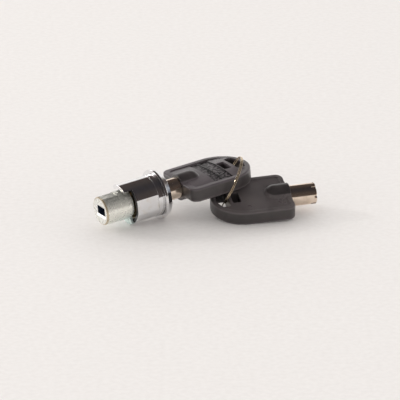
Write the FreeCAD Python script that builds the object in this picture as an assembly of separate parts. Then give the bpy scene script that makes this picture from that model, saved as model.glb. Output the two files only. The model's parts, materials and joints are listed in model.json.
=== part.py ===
import FreeCAD, Part

import math
import os

# Tubular key lock: a flanged lock body with its pin mechanism, stop washer and drive nose,
# one key in the lock, a second key lying on the table and a split ring through both heads.
# Lengths are in millimetres, angles in degrees.
# Lock pieces are drawn about the X axis of the lock frame: origin at the centre of the
# flange's rear face, +X out of the keyway, +Z up.
# Key pieces are drawn in the key frame: origin at the middle of the head's shoulder, +X
# towards the head's round end, +Z out of its upper face.

# Lock body
flange_radius = 11.3
flange_thickness = 3.4
flange_land = 1.0
flange_taper = 1.2
body_radius = 9.5
body_length = 13.3
flat_depth = 0.85
collar_length = 2.6
barrel_step = 0.2
edge_break = 0.3
body_wall = 2.6
mouth_lip = 0.6
rear_recess_step = 0.6
rear_recess_depth = 1.3
tongue_length = 4.0
tongue_half_angle = 34.0

# Pin mechanism
pin_radius = 0.8
shear_depth = 3.0
driver_length = 3.0
spring_wire = 0.25
pin_sides = 12
round_sides = 24
bushing_floor = 0.8
shaft_radius = 2.6
tenon_across = 3.8
retaining_radius = 0.8
retaining_depth = 2.15
running_gap = 0.05
fixed_gap = 0.02
end_gap = 0.1

# Stop washer and drive nose
washer_gap = 0.2
washer_thickness = 1.05
washer_inset = 0.6
tab_half_angle = 26.0
nose_inset = 0.3
nose_length = 12.6
nose_step = 0.2
nose_flat_depth = 0.55
nose_flat_length = 7.7
nose_edge_round = 0.5
nose_base_round = 0.2
tenon_in_nose = 3.8
socket_width = 6.7
socket_height = 3.8
socket_depth = 8.0
socket_flare = 0.85
socket_flare_depth = 0.5

# Key barrel
barrel_radius = 4.75
barrel_wall = 1.25
barrel_reach = 11.8
bore_depth = 9.0
cut_radius = 0.9
cut_depths = (1.7, 2.6, 1.2, 2.1, 0.9, 2.3, 1.4)
insertion = 3.4
shank_radius = 4.5
shank_neck = 0.3
shank_length = 4.0
tang_length = 6.0
tang_width = 8.0
tang_thickness = 3.0
nib_width = 0.9
nib_height = 0.45
nib_length = 2.0
nib_root = 0.4
barrel_tip_round = 0.25

# Key head
head_length = 35.5
head_width = 29.4
head_thickness = 6.2
shoulder_round = 3.5
head_edge_break = 0.5
rim_width = 2.6
plain_rim_width = 2.0
rim_step = 0.5
rim_corner_radius = 2.0
crown_rise = 1.1
crown_flats = 8
boss_radius = 6.0
boss_length = 11.1
boss_round = 4.4
boss_steps = 4
slot_length = 5.4
slot_width = 13.0
slot_rim = 2.3
slot_corner_radius = 1.0
window_gap = 1.6
window_length = 3.7
window_width = 8.1
panel_margin = 2.2
panel_gap = 0.6
panel_width = 23.0
panel_depth = 0.3
panel_corner_radius = 0.5
ridge_share = 0.384
ridge_width = 0.9

# Split ring
ring_radius = 12.7
ring_wire_radius = 0.4
ring_pitch = 1.25
ring_overlap_angle = 330.0
ring_sides = 8
ring_steps = 69

# How the set lies on the table, seen from above with the lock's flange at the origin
lock_heading = 30.3
lock_tilt = 5.9
slot_distance = 18.81
slot_bearing = 249.55
second_key_heading = 192.5
second_key_pitch = 2.8
second_key_roll = 168.8
ring_side_in_first_key = 3.75
ring_side_in_second_key = 1.5
ring_axis_hint = (-0.90, -0.03, 0.43)

# Places that follow from the sizes above
pin_count = len(cut_depths)
across_flats = 2 * (body_radius - flat_depth)
chamber_radius = body_radius - body_wall
rear_recess_radius = chamber_radius + rear_recess_step
nose_radius = chamber_radius - nose_inset
washer_radius = nose_radius - washer_inset
mouth_radius = barrel_radius + running_gap
key_stand_off = barrel_reach - insertion
key_tip = flange_thickness - insertion
rotor_front = flange_thickness - mouth_lip - end_gap
post_radius = barrel_radius - barrel_wall - end_gap
recess_floor = -body_length + rear_recess_depth
pin_hole_radius = (pin_radius + running_gap) / math.cos(math.pi / pin_sides)
hole_growth = 1 / math.cos(math.pi / round_sides)
washer_front = -body_length - washer_gap
nose_base = washer_front - washer_thickness - fixed_gap
nose_tip = nose_base - nose_length
tenon_end = nose_base - tenon_in_nose
head_radius = head_width / 2
face_height = head_thickness / 2
slot_start = head_length - slot_rim - slot_length
slot_middle = slot_start + slot_length / 2
window_start = slot_start - window_gap - window_length
panel_start = boss_length + panel_margin
panel_end = window_start - panel_gap
ridge_start = panel_start + ridge_share * (panel_end - panel_start)
groove_angle = 180.0 / pin_count
X_AXIS = FreeCAD.Vector(1, 0, 0)
Y_AXIS = FreeCAD.Vector(0, 1, 0)
Z_AXIS = FreeCAD.Vector(0, 0, 1)
ORIGIN = FreeCAD.Vector(0, 0, 0)


def rounded_wire(corners, height=0.0):
    """Closed wire at a height, through corners (x, y, radius), each rounded by its radius.

    A rounding is made of straight runs, about one for each millimetre of its radius.
    """
    points = [FreeCAD.Vector(x, y, height) for x, y, radius in corners]
    outline = []
    for index, point in enumerate(points):
        radius = corners[index][2]
        if radius == 0:
            outline.append(point)
            continue
        back = (points[index - 1] - point).normalize()
        ahead = (points[(index + 1) % len(points)] - point).normalize()
        half_turn = back.getAngle(ahead) / 2
        centre = point + (back + ahead).normalize() * (radius / math.sin(half_turn))
        spoke = point + back * (radius / math.tan(half_turn)) - centre
        turn = 180 - 2 * math.degrees(half_turn)
        axis = ahead.cross(back)
        runs = max(1, round(radius))
        for step in range(runs + 1):
            stop = centre + FreeCAD.Rotation(axis, turn * step / runs).multVec(spoke)
            if not outline or stop.distanceToPoint(outline[-1]) > 1e-6:
                outline.append(stop)
    if outline[0].distanceToPoint(outline[-1]) > 1e-6:
        outline.append(outline[0])
    return Part.makePolygon(outline[:-1] + [outline[0]])


def plate(corners, low, high):
    """Rounded outline in the XY plane, extruded from height low to height high."""
    return Part.Face(rounded_wire(corners, low)).extrude(FreeCAD.Vector(0, 0, high - low))


def lathe(corners, start=0.0, sweep=360.0):
    """Profile of (x, radius, rounding) turned about X from angle start, 0 being straight up."""
    face = Part.Face(rounded_wire(corners))
    face.rotate(ORIGIN, X_AXIS, 90 + start)
    return face.revolve(ORIGIN, X_AXIS, sweep)


def block(x_low, x_high, width, height):
    """Rectangular block centred on the X axis."""
    corner = FreeCAD.Vector(x_low, -width / 2, -height / 2)
    return Part.makeBox(x_high - x_low, width, height, corner)


def turned(shape, angle):
    """Copy of a shape turned about the X axis."""
    copy = shape.copy()
    copy.rotate(ORIGIN, X_AXIS, angle)
    return copy


def pin_angles():
    """Angles of the pin stacks about the lock's axis."""
    return [360.0 * index / pin_count for index in range(pin_count)]


def many_sided(radius, station, sides=round_sides):
    """Wire across the X axis at a station, its corners at the radius."""
    corners = []
    for side in range(sides + 1):
        turn = 2 * math.pi * side / sides
        corners.append(FreeCAD.Vector(station, radius * math.sin(turn), radius * math.cos(turn)))
    return Part.makePolygon(corners)


def bar(radius, start, end, sides=round_sides):
    """Many-sided bar on the X axis, its corners at the radius."""
    return Part.Face(many_sided(radius, start, sides)).extrude(FreeCAD.Vector(end - start, 0, 0))


def around(radius, start, end):
    """Bars of one radius on the pin circle, one at each pin stack."""
    single = bar(radius, start, end, pin_sides)
    single.translate(FreeCAD.Vector(0, 0, barrel_radius))
    return [turned(single, angle) for angle in pin_angles()]


def double_flat(radius, across, start, end):
    """Round rod with two flats, as on the spindle's tenon."""
    return bar(radius, start, end).common(block(start, end, 4 * radius, across))


def lock_body():
    """Flange, collar, flatted barrel, stop tongue and the stepped bore for the mechanism."""
    tongue_end = -body_length - tongue_length
    lip_back = flange_thickness - mouth_lip
    front_radius = flange_radius - flange_taper
    barrel = body_radius - barrel_step
    body = lathe([
        (tongue_end, rear_recess_radius, 0),
        (tongue_end, barrel, edge_break),
        (-collar_length, barrel, 0),
        (-collar_length, body_radius, 0),
        (0, body_radius, 0),
        (0, flange_radius, 0),
        (flange_land, flange_radius, 0),
        (flange_thickness, front_radius, edge_break),
        (flange_thickness, mouth_radius, 0),
        (lip_back, mouth_radius, 0),
        (lip_back, chamber_radius, 0),
        (recess_floor, chamber_radius, 0),
        (recess_floor, rear_recess_radius, 0),
    ])
    beyond = tongue_end - 1
    outside = body_radius + 1
    away = lathe([
        (beyond, 0, 0),
        (-body_length, 0, 0),
        (-body_length, barrel - edge_break, 0),
        (-body_length + edge_break + 1, barrel + 1, 0),
        (-body_length + edge_break + 1, outside, 0),
        (beyond, outside, 0),
    ], tongue_half_angle, 360 - 2 * tongue_half_angle)
    body = body.cut(away)
    flat_length = body_length + tongue_length + 1 - collar_length
    for side in (-1, 1):
        low = across_flats / 2 if side > 0 else -across_flats / 2 - body_radius
        corner = FreeCAD.Vector(beyond, low, -body_radius)
        body = body.cut(Part.makeBox(flat_length, body_radius, 2 * body_radius, corner))
    return body.cut(retaining_rod(retaining_radius, body_radius + 1))


def retaining_rod(radius, top):
    """Radial rod between two pin stacks, from inside the bushing outwards to radius top."""
    station = (recess_floor - shear_depth) / 2
    bottom = chamber_radius - retaining_depth
    upright = bar(radius, bottom, top, pin_sides)
    upright.rotate(ORIGIN, Y_AXIS, -90)
    upright.translate(FreeCAD.Vector(station, 0, 0))
    return turned(upright, -3 * groove_angle)


def retaining_pin():
    """Pin that keeps the bushing in the body, just under the surface of the far flat."""
    return retaining_rod(retaining_radius - fixed_gap, across_flats / 2 - edge_break)


def spindle():
    """Turning core: pin disc with the key's annular recess, centre post, shaft and tenon."""
    disc_radius = chamber_radius - running_gap
    recess_radius = (barrel_radius + end_gap) * hole_growth
    key_stop = key_tip - end_gap
    shaft = bar(shaft_radius, washer_front, -shear_depth)
    post = bar(post_radius, key_stop, rotor_front + 1)
    recess = bar(recess_radius, key_stop, rotor_front + 1).cut(post)
    core = bar(disc_radius, -shear_depth, rotor_front).cut(recess)
    core = core.fuse([shaft, double_flat(shaft_radius, tenon_across, tenon_end, washer_front)])
    holes = around(pin_hole_radius, -shear_depth - 1, rotor_front + 1)
    groove = block(key_stop, rotor_front + 1, nib_width + 2 * end_gap, 2 * post_radius)
    groove.translate(FreeCAD.Vector(0, 0, 2 * post_radius - nib_height - 2 * end_gap))
    return core.cut(holes + [turned(groove, groove_angle)]).removeSplitter()


def bushing():
    """Fixed rear case with a blind hole for each driver pin and spring."""
    front = -shear_depth - running_gap
    case = bar(chamber_radius - fixed_gap, recess_floor, front)
    bore = bar((shaft_radius + running_gap) * hole_growth, recess_floor - 1, front + 1)
    holes = around(pin_hole_radius, recess_floor + bushing_floor, front + 1)
    return case.cut([bore, retaining_rod(retaining_radius, body_radius)] + holes)


def key_pins():
    """Front pins, each as long as its cut in the key leaves between key and shear plane."""
    pins = []
    for angle, depth in zip(pin_angles(), cut_depths):
        pin = bar(pin_radius, -shear_depth, key_tip + depth - running_gap, pin_sides)
        pin.translate(FreeCAD.Vector(0, 0, barrel_radius))
        pins.append(turned(pin, angle))
    return pins


def driver_pins():
    """Rear pins, standing with their front ends at the shear plane."""
    front = -shear_depth - running_gap
    return around(pin_radius, front - driver_length, front)


def springs():
    """Plain tubes in the room of the coiled springs behind the driver pins."""
    front = -shear_depth - running_gap - driver_length - fixed_gap
    back = recess_floor + bushing_floor + fixed_gap
    outer = around(pin_radius - fixed_gap, back, front)
    inner = around(pin_radius - fixed_gap - spring_wire, back - 1, front + 1)
    return [tube.cut(hollow) for tube, hollow in zip(outer, inner)]


def stop_washer():
    """Washer on the spindle's tenon whose tab meets the sides of the body's tongue."""
    back = washer_front - washer_thickness
    disc = bar(washer_radius, back, washer_front)
    tab = lathe([
        (back, washer_radius - 1, 0),
        (back, body_radius, 0),
        (washer_front, body_radius, 0),
        (washer_front, washer_radius - 1, 0),
    ], 180 - tab_half_angle, 2 * tab_half_angle)
    hole = double_flat(shaft_radius + running_gap, tenon_across + 2 * fixed_gap, back - 1, washer_front + 1)
    return disc.fuse(tab).cut(hole).removeSplitter()


def rectangle(x, width, height):
    """Closed rectangular wire across the X axis at station x."""
    half = width / 2
    tall = height / 2
    corners = [(-half, -tall), (half, -tall), (half, tall), (-half, tall), (-half, -tall)]
    return Part.makePolygon([FreeCAD.Vector(x, y, z) for y, z in corners])


def drive_nose():
    """Round nose with two shallow flats and the flared rectangular drive socket."""
    flat_end = nose_tip + nose_flat_length
    nose = lathe([
        (nose_tip, 0, 0),
        (nose_tip, nose_radius - nose_step, nose_edge_round),
        (flat_end, nose_radius - nose_step, 0),
        (flat_end, nose_radius, 0),
        (nose_base, nose_radius, nose_base_round),
        (nose_base, 0, 0),
    ])
    between = block(nose_tip - 1, flat_end, 4 * nose_radius, 2 * (nose_radius - nose_flat_depth))
    stock = block(nose_tip - 1, flat_end, 4 * nose_radius, 4 * nose_radius)
    nose = nose.cut(stock.cut(between))
    socket = block(nose_tip - 1, nose_tip + socket_depth, socket_width, socket_height)
    flare = Part.makeLoft([
        rectangle(nose_tip, socket_width + 2 * socket_flare, socket_height + 2 * socket_flare),
        rectangle(nose_tip + socket_flare_depth, socket_width, socket_height),
    ], True, True)
    seat = double_flat(shaft_radius + running_gap, tenon_across + 2 * fixed_gap, tenon_end - end_gap, nose_base + 1)
    return nose.cut([socket, flare, seat])


def key_barrel():
    """Tubular barrel with its seven tip cuts, inner nib, shank and flat tang."""
    bore = barrel_radius - barrel_wall
    tube = lathe([
        (-barrel_reach, bore, 0),
        (-barrel_reach, barrel_radius, barrel_tip_round),
        (-shank_neck, barrel_radius, 0),
        (-shank_neck, 0, 0),
        (bore_depth - barrel_reach, 0, 0),
        (bore_depth - barrel_reach, bore, 0),
    ])
    shank = bar(shank_radius, -shank_neck, shank_length)
    tang = block(shank_length, shank_length + tang_length, tang_width, tang_thickness)
    nib = block(-barrel_reach + end_gap, -barrel_reach + nib_length, nib_width, nib_height + nib_root)
    nib.translate(FreeCAD.Vector(0, 0, bore - nib_height + (nib_height + nib_root) / 2))
    barrel = tube.fuse([shank, tang, turned(nib, groove_angle)])
    cuts = []
    for angle, depth in zip(pin_angles(), cut_depths):
        cut = bar(cut_radius, -barrel_reach - 1, -barrel_reach + depth, pin_sides)
        cut.translate(FreeCAD.Vector(0, 0, barrel_radius))
        cuts.append(turned(cut, angle))
    return barrel.cut(cuts)


def head_outline(inset, corner):
    """Corners of the U-shaped head, moved in by inset, with rounded shoulder corners."""
    side = head_radius - inset
    end = head_length - inset
    return [(inset, -side, corner), (end, -side, side), (end, side, side), (inset, side, corner)]


def plain_face():
    """Room over the plain lower face, which lies sunk inside its rim."""
    return plate(head_outline(plain_rim_width, rim_corner_radius), face_height - rim_step, face_height + 1)


def crown():
    """Ridge along the head whose top rises in flats from the sunk level to the middle."""
    side = head_radius - rim_width
    low = face_height - rim_step
    corners = [FreeCAD.Vector(0, side, -low), FreeCAD.Vector(0, -side, -low)]
    for step in range(crown_flats + 1):
        across = 2 * step / crown_flats - 1
        corners.append(FreeCAD.Vector(0, side * across, low + crown_rise * (1 - across * across)))
    corners.append(corners[0])
    return Part.Face(Part.makePolygon(corners)).extrude(FreeCAD.Vector(head_length, 0, 0))


def crowned_face():
    """Room over the upper face, which rises to a low crown and holds a panel of two fields."""
    low = face_height - rim_step
    room = plate(head_outline(rim_width, rim_corner_radius), low, low + crown_rise + 1).cut(crown())
    floor = crown()
    floor.translate(FreeCAD.Vector(0, 0, -panel_depth))
    half = panel_width / 2
    fields = [(panel_start, ridge_start), (ridge_start + ridge_width, panel_end)]
    for begin, end in fields:
        corners = [(begin, -half), (end, -half), (end, half), (begin, half)]
        outline = [(x, y, panel_corner_radius) for x, y in corners]
        field = plate(outline, low - panel_depth - 1, low + crown_rise + 1)
        room = room.fuse(field.cut(floor))
    return room


def ring_slot():
    """D-shaped slot: straight towards the barrel, following the head's round end."""
    half = slot_width / 2
    top = face_height + crown_rise + 1
    strip = plate([
        (slot_start, -half, slot_corner_radius),
        (head_length, -half, 0),
        (head_length, half, 0),
        (slot_start, half, slot_corner_radius),
    ], -top, top)
    return strip.common(plate(head_outline(slot_rim, rim_corner_radius), -top, top))


def boss():
    """Round-nosed boss round the barrel, in rings of flats."""
    stations = [(0, boss_radius), (boss_length - boss_round, boss_radius)]
    for step in range(1, boss_steps + 1):
        turn = math.pi / 2 * step / boss_steps
        reach = boss_length - boss_round * (1 - math.sin(turn))
        stations.append((reach, boss_radius - boss_round * (1 - math.cos(turn))))
    return Part.makeLoft([many_sided(radius, station) for station, radius in stations], True, True)


def key_head():
    """Moulded head: rimmed faces, barrel boss, panel, window and ring slot."""
    head = plate(head_outline(0, shoulder_round), -face_height, face_height)
    rim_edges = [edge for edge in head.Edges if abs(abs(edge.CenterOfMass.z) - face_height) < 1e-6]
    head = head.makeChamfer(head_edge_break, rim_edges)
    head = head.fuse(plate(head_outline(rim_width, rim_corner_radius), 0, face_height - rim_step + crown_rise))
    lower = plain_face()
    lower.rotate(ORIGIN, X_AXIS, 180)
    head = head.cut([crowned_face(), lower])
    head = head.fuse(boss())
    half = window_width / 2
    window_end = window_start + window_length
    corners = [(window_start, -half), (window_end, -half), (window_end, half), (window_start, half)]
    outline = [(x, y, panel_corner_radius) for x, y in corners]
    window = plate(outline, -face_height, face_height + crown_rise)
    tang_end = shank_length + tang_length + fixed_gap
    shank_hole = bar(shank_radius + fixed_gap, -1, shank_length + fixed_gap)
    tang_hole = block(shank_length, tang_end, tang_width + 2 * fixed_gap, tang_thickness + 2 * fixed_gap)
    return head.cut([window, ring_slot(), shank_hole, tang_hole]).removeSplitter()


def key_ring():
    """Split ring of two turns about its own Z axis, which steps sideways where its ends meet."""
    sections = []
    for index in range(ring_steps + 1):
        angle = (360 + ring_overlap_angle) * index / ring_steps
        share = min(1.0, max(0.0, (angle - ring_overlap_angle) / (360 - ring_overlap_angle)))
        side = ring_pitch * (share * share * (3 - 2 * share) - 0.5)
        corners = []
        for number in range(ring_sides + 1):
            turn = 2 * math.pi * number / ring_sides
            out = ring_radius + ring_wire_radius * math.cos(turn)
            corner = FreeCAD.Vector(out, 0, side + ring_wire_radius * math.sin(turn))
            corners.append(FreeCAD.Rotation(Z_AXIS, angle).multVec(corner))
        sections.append(Part.makePolygon(corners))
    return Part.makeLoft(sections, True, True)


def turned_frame(heading, tilt, roll):
    """Rotation of a frame: compass heading, rise of its X axis, then roll about that axis."""
    spin = FreeCAD.Rotation(Z_AXIS, heading)
    rise = FreeCAD.Rotation(Y_AXIS, -tilt)
    return spin * rise * FreeCAD.Rotation(X_AXIS, roll)


def lock_place():
    """Lock resting on its flange, with the stop washer's tab just clear of the table."""
    height = flange_radius * math.cos(math.radians(lock_tilt))
    return FreeCAD.Placement(FreeCAD.Vector(0, 0, height), turned_frame(lock_heading, lock_tilt, 0))


def first_key_place():
    """First key in the keyway, its head's shoulder standing off the flange."""
    shoulder = FreeCAD.Vector(flange_thickness + key_stand_off, 0, 0)
    return lock_place() * FreeCAD.Placement(shoulder, FreeCAD.Rotation())


def second_key_place(pieces, first_key):
    """Second key lying on the table, its slot at a distance from the first key's slot."""
    turn = turned_frame(second_key_heading, -second_key_pitch, second_key_roll)
    middle = FreeCAD.Vector(slot_middle, 0, 0)
    bearing = FreeCAD.Rotation(Z_AXIS, slot_bearing).multVec(FreeCAD.Vector(slot_distance, 0, 0))
    corner = first_key.multVec(middle) + bearing - turn.multVec(middle)
    lowest = min(placed(piece, FreeCAD.Placement(ORIGIN, turn)).optimalBoundingBox(False).ZMin for piece in pieces)
    return FreeCAD.Placement(FreeCAD.Vector(corner.x, corner.y, -lowest), turn)


def ring_place(first_key, second_key):
    """Ring through the slots of both heads, leaning as its axis hint says."""
    above = first_key.multVec(FreeCAD.Vector(slot_middle, ring_side_in_first_key, 0))
    below = second_key.multVec(FreeCAD.Vector(slot_middle, -ring_side_in_second_key, 0))
    chord = below - above
    along = FreeCAD.Vector(chord).normalize()
    hint = FreeCAD.Vector(*ring_axis_hint)
    axis = (hint - along * hint.dot(along)).normalize()
    inward = axis.cross(along)
    drop = math.sqrt(max(0.0, ring_radius ** 2 - chord.Length ** 2 / 4))
    centre = above + chord * 0.5 + inward * drop
    return FreeCAD.Placement(centre, FreeCAD.Rotation(along, inward, axis))


def placed(shape, place):
    """Copy of a shape moved from its own frame to where it lies in the set."""
    copy = shape.copy()
    copy.Placement = place * copy.Placement
    return copy


def lock_pieces():
    """Every piece of the lock by name, in the lock frame."""
    pieces = {
        "lock_body": lock_body(),
        "retaining_pin": retaining_pin(),
        "spindle": spindle(),
        "bushing": bushing(),
        "stop_washer": stop_washer(),
        "drive_nose": drive_nose(),
    }
    for name, group in (("key_pin", key_pins()), ("driver_pin", driver_pins()), ("spring", springs())):
        for number, piece in enumerate(group, 1):
            pieces[f"{name}_{number}"] = piece
    return pieces


def key_set():
    """Every piece of the set by name, standing on the table with the flange at the origin."""
    barrel = key_barrel()
    head = key_head()
    first_key = first_key_place()
    second_key = second_key_place([barrel, head], first_key)
    pieces = {name: placed(piece, lock_place()) for name, piece in lock_pieces().items()}
    pieces["key_1_barrel"] = placed(barrel, first_key)
    pieces["key_1_head"] = placed(head, first_key)
    pieces["key_2_barrel"] = placed(barrel, second_key)
    pieces["key_2_head"] = placed(head, second_key)
    pieces["key_ring"] = placed(key_ring(), ring_place(first_key, second_key))
    return pieces


def table_origin(pieces):
    """Point on the table under the middle of the whole set."""
    box = FreeCAD.BoundBox()
    for piece in pieces.values():
        box.add(piece.optimalBoundingBox(False))
    return FreeCAD.Vector(box.Center.x, box.Center.y, box.ZMin)


def main():
    """Write one STEP file for each piece, with the origin under the middle of the set."""
    os.makedirs("parts", exist_ok=True)
    pieces = key_set()
    origin = table_origin(pieces)
    for name, piece in pieces.items():
        piece.translate(origin * -1)
        piece.exportStep(f"parts/{name}.step")
    gap = ring_pitch - 2 * ring_wire_radius
    print(f"{len(pieces)} pieces, ring turns {gap:.2f} mm apart, lock tilt {lock_tilt:.2f} degrees")


if __name__ == "__main__":
    main()
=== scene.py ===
"""Dressed model of a tubular key lock: the lock, one key in it, a second key and a split ring."""

import json
import logging
import math
from collections.abc import Iterable, Sequence
from dataclasses import dataclass
from enum import Enum

import bmesh
import bpy
from mathutils import Matrix, Vector


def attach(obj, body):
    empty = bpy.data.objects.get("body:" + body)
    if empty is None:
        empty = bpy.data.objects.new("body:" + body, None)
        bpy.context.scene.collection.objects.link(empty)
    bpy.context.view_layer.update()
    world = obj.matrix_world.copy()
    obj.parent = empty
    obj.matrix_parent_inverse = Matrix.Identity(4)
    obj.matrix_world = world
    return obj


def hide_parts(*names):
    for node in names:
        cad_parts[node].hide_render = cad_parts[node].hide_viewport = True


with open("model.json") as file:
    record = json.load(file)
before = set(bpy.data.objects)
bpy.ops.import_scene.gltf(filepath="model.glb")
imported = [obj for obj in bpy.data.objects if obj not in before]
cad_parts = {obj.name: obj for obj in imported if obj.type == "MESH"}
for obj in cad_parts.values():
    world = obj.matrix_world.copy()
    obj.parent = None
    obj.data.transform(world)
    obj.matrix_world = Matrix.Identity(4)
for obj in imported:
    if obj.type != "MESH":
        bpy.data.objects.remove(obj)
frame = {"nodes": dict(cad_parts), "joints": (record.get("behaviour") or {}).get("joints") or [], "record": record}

log = logging.getLogger("tubular_lock")

MM = 0.001
PIN_COUNT = 7
TURN = 360.0

Pair = tuple[float, float]
Triple = tuple[float, float, float]
Flat = Pair
Band = Pair
Corner = Triple
Colour = Triple
Stops = tuple[tuple[float, Colour], ...]
Piece = bpy.types.Object
Socket = bpy.types.NodeSocket


class Carve(Enum):
    """How one shape is combined with another."""

    TAKE = "DIFFERENCE"
    ADD = "UNION"
    KEEP = "INTERSECT"


class Maths(Enum):
    """Scalar operations in a node tree."""

    ADD = "ADD"
    TAKE = "SUBTRACT"
    TIMES = "MULTIPLY"
    MOST = "MAXIMUM"
    SIZE = "ABSOLUTE"
    RADIANS = "RADIANS"
    COSINE = "COSINE"
    SINE = "SINE"


# Places


@dataclass(frozen=True)
class Place:
    """Where a piece's own millimetre frame lies in the set.

    Args:
        origin: Origin of the piece's frame, in metres.
        x_axis: Direction of its X axis.
        z_axis: Direction of its Z axis.
    """

    origin: Vector
    x_axis: Vector
    z_axis: Vector

    def matrix(self) -> Matrix:
        """Matrix from the piece's millimetres to the set's metres."""
        y_axis = self.z_axis.cross(self.x_axis)
        turn = Matrix((self.x_axis, y_axis, self.z_axis)).transposed().to_4x4()
        return Matrix.Translation(self.origin) @ turn @ Matrix.Scale(MM, 4)

    def angles(self) -> tuple[float, float, float]:
        """Euler angles of the piece's frame, for a texture that follows it."""
        return tuple(self.matrix().to_euler())


def named(entries: Iterable[dict], name: str) -> dict:
    """Entry with a name, out of a list in the frame."""
    return next(entry for entry in entries if entry["name"] == name)


def lock_place() -> Place:
    """Place of the lock: its axis is the plug's hinge, and its Y axis is level."""
    hinge = named(frame["joints"], "plug_turn")
    x_axis = Vector(hinge["axis"]).normalized()
    y_axis = Vector((0, 0, 1)).cross(x_axis).normalized()
    return Place(Vector(hinge["pos_m"]), x_axis, x_axis.cross(y_axis))


def first_key_place(shoulder: float) -> Place:
    """Place of the key in the lock.

    Args:
        shoulder: Distance from the back of the lock's flange to the head's shoulder.

    Returns:
        The place, with the lock's own directions.
    """
    lock = lock_place()
    return Place(lock.origin + lock.x_axis * shoulder * MM, lock.x_axis, lock.z_axis)


def second_key_place(reach: float) -> Place:
    """Place of the key on the table.

    Args:
        reach: Distance from the barrel mount's middle to the head's shoulder.

    Returns:
        The place, read from the barrel's mount and the key's hinge.
    """
    barrel = named(frame["record"]["mounts"], "second_key_barrel")
    x_axis = -Vector(barrel["axis"]).normalized()
    y_axis = Vector(named(frame["joints"], "second_key_swing")["axis"]).normalized()
    origin = Vector(barrel["pos_m"]) + x_axis * reach * MM
    return Place(origin, x_axis, x_axis.cross(y_axis))


def ring_place(start: float) -> Place:
    """Place of the split ring, whose Z axis is its own round axis.

    Args:
        start: Angle of the wire's first end from the level direction, in degrees.

    Returns:
        The place, with the X axis towards that end.
    """
    hinge = named(frame["joints"], "ring_spin")
    z_axis = Vector(hinge["axis"]).normalized()
    level = Vector((0, 0, 1)).cross(z_axis).normalized()
    x_axis = Matrix.Rotation(math.radians(start), 3, z_axis) @ level
    return Place(Vector(hinge["pos_m"]), x_axis, z_axis)


# Shapes


def rounded_outline(corners: Sequence[Corner], steps: int = 6) -> list[Flat]:
    """Closed outline with every corner rounded.

    Args:
        corners: Corner points as (x, y, radius).
        steps: Runs along each rounding.

    Returns:
        Points in order, the same number for every rounded corner.
    """
    points: list[Flat] = []
    for index, (x, y, radius) in enumerate(corners):
        here = Vector((x, y))
        if radius <= 0:
            points.append((x, y))
            continue
        back = (Vector(corners[index - 1][:2]) - here).normalized()
        ahead = (Vector(corners[(index + 1) % len(corners)][:2]) - here).normalized()
        half = back.angle(ahead) / 2
        centre = here + (back + ahead).normalized() * radius / math.sin(half)
        start = here + back * radius / math.tan(half) - centre
        turn = start.angle_signed(here + ahead * radius / math.tan(half) - centre)
        for step in range(steps + 1):
            spoke = start.copy()
            spoke.rotate(Matrix.Rotation(-turn * step / steps, 2))
            points.append(tuple(centre + spoke))
    return points


def oblong(start: float, end: float, half: float, near: float = 0.0, far: float = 0.0) -> list[Corner]:
    """Corners of an oblong on the X axis, with the rounding at its start and at its end."""
    return [(start, -half, near), (end, -half, far), (end, half, far), (start, half, near)]


def around(x: float, radius: float, angle: float) -> Vector:
    """Point beside the X axis, at an angle in radians from straight up."""
    return Vector((x, -radius * math.sin(angle), radius * math.cos(angle)))


def as_object(name: str, data: bpy.types.ID) -> Piece:
    """New object in the scene.

    Args:
        name: Name of the object.
        data: Its mesh, lamp or camera.

    Returns:
        The new object.
    """
    piece = bpy.data.objects.new(name, data)
    bpy.context.scene.collection.objects.link(piece)
    return piece


def skin(name: str, loops: Sequence[Sequence[Vector]], turned: bool = False) -> Piece:
    """Closed skin over a row of loops.

    Args:
        name: Name of the object.
        loops: Loops of equal length, in order.
        turned: True where the last loop meets the first round the X axis, so that no end is capped.

    Returns:
        The new object.
    """
    sketch = bmesh.new()
    rings = [[sketch.verts.new(point) for point in loop] for loop in loops]
    for first, second in zip(rings, rings[1:] + rings[:1] if turned else rings[1:]):
        for index, corner in enumerate(first):
            after = (index + 1) % len(first)
            on_axis = turned and max(corner.co.yz.length, first[after].co.yz.length) < 1e-6
            if not on_axis:
                sketch.faces.new((corner, first[after], second[after], second[index]))
    if not turned:
        sketch.faces.new(rings[0])
        sketch.faces.new(rings[-1])
    bmesh.ops.remove_doubles(sketch, verts=sketch.verts, dist=1e-5)
    bmesh.ops.recalc_face_normals(sketch, faces=sketch.faces)
    mesh = bpy.data.meshes.new(name)
    sketch.to_mesh(mesh)
    sketch.free()
    return as_object(name, mesh)


def lathe(name: str, corners: Sequence[Corner], segments: int = 160, steps: int = 5) -> Piece:
    """Profile turned about the X axis.

    Args:
        name: Name of the object.
        corners: Closed profile as (x, radius, rounding).
        segments: Faces around the axis.
        steps: Runs along each rounding.

    Returns:
        The new object.
    """
    profile = rounded_outline(corners, steps)
    angles = [math.tau * index / segments for index in range(segments)]
    return skin(name, [[around(x, radius, angle) for x, radius in profile] for angle in angles], True)


def stack(name: str, levels: Iterable[tuple[Sequence[Flat], float]]) -> Piece:
    """Solid through outlines of equal length, given with their rising heights."""
    return skin(name, [[Vector((x, y, height)) for x, y in outline] for outline, height in levels])


def prism(name: str, corners: Sequence[Corner], low: float, high: float) -> Piece:
    """Rounded outline in the XY plane, raised from height low to height high."""
    outline = rounded_outline(corners)
    return stack(name, [(outline, low), (outline, high)])


def block(name: str, low: Sequence[float], high: Sequence[float]) -> Piece:
    """Box between two corners."""
    corners = [(low[0], low[1], 0), (high[0], low[1], 0), (high[0], high[1], 0), (low[0], high[1], 0)]
    return prism(name, corners, low[2], high[2])


def rod(name: str, radius: float, start: float, end: float, segments: int = 96) -> Piece:
    """Round rod on the X axis between two stations."""
    return lathe(name, [(start, 0, 0), (start, radius, 0), (end, radius, 0), (end, 0, 0)], segments)


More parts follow.
